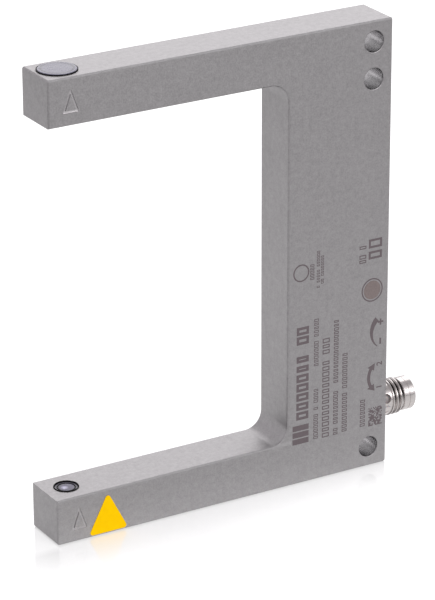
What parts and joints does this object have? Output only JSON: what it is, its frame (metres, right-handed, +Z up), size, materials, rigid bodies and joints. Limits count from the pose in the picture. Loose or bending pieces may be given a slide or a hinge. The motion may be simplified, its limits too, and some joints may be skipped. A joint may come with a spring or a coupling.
{
  "type": "fork sensor",
  "caption": "C-shaped steel fork light barrier: optical heads in both arm tips, edge adjusters, fixing holes through the web and a round screw connector.",
  "frame": {"origin": "middle of the foot face, the underside of the lower arm and web", "axes": "+X from the arm tips to the connector edge, +Y from the front face to the back, +Z up along the beam"},
  "size_m": [0.089, 0.0111, 0.1003],
  "materials": {
    "housing_steel": "fine blasted satin",
    "cap_violet": "smooth, violet-grey",
    "seal_rubber": "matt black",
    "window_glass": "clear, faint violet coat",
    "lens_glass": "polished",
    "black_plastic": "matt moulded",
    "holder_brass": "turned",
    "can_metal": "plated",
    "lead_film": "amber film",
    "board_green": "solder resist",
    "chip_black": "moulded",
    "capacitor_tan": "sintered",
    "trimmer_blue": "moulded",
    "adjuster_steel": "turned",
    "connector_nickel": "bright nickel",
    "contact_gold": "gold plated",
    "light_guide_grey": "smoked, translucent",
    "lamp_white": "moulded",
    "sticker_yellow": "printed film"
  },
  "bodies": {
    "fork": {"fork_body": "housing_steel", "rear_cover": "housing_steel", "receiver_cap": "cap_violet", "receiver_cap_seal": "seal_rubber", "receiver_window": "window_glass", "receiver_window_ring": "seal_rubber", "receiver_lens": "lens_glass", "receiver_lens_holder": "black_plastic", "photodiode": "can_metal", "receiver_lead": "lead_film", "receiver_lead_socket": "black_plastic", "emitter_cap": "cap_violet", "emitter_cap_seal": "seal_rubber", "emitter_window": "window_glass", "emitter_window_ring": "seal_rubber", "emitter_lens": "lens_glass", "emitter_lens_holder": "holder_brass", "laser_diode": "can_metal", "emitter_lead": "lead_film", "emitter_lead_socket": "black_plastic", "circuit_board": "board_green", "processor_chip": "chip_black", "output_driver": "chip_black", "amplifier_chip": "chip_black", "capacitors": "capacitor_tan", "mode_switch": "trimmer_blue", "mode_selector_seal": "seal_rubber", "sensitivity_trimmer": "trimmer_blue", "sensitivity_seal": "seal_rubber", "connector_shell": "connector_nickel", "connector_insert": "black_plastic", "contact_pins": "contact_gold", "connector_seal": "seal_rubber", "light_guide": "light_guide_grey", "indicator_leds": "lamp_white", "marker_label": "sticker_yellow"},
    "mode_selector": {"mode_selector": "adjuster_steel"},
    "sensitivity_adjuster": {"sensitivity_adjuster": "adjuster_steel"}
  },
  "joints": [
    {"name": "mode_turn", "type": "hinge", "parent": "fork", "child": "mode_selector", "pos_m": [0.04, 0, 0.0205], "axis": [1, 0, 0], "range_deg": [0, 180]},
    {"name": "sensitivity_turn", "type": "hinge", "parent": "fork", "child": "sensitivity_adjuster", "pos_m": [0.04, 0, 0.0307], "axis": [1, 0, 0], "range_deg": [-135, 135]}
  ]
}
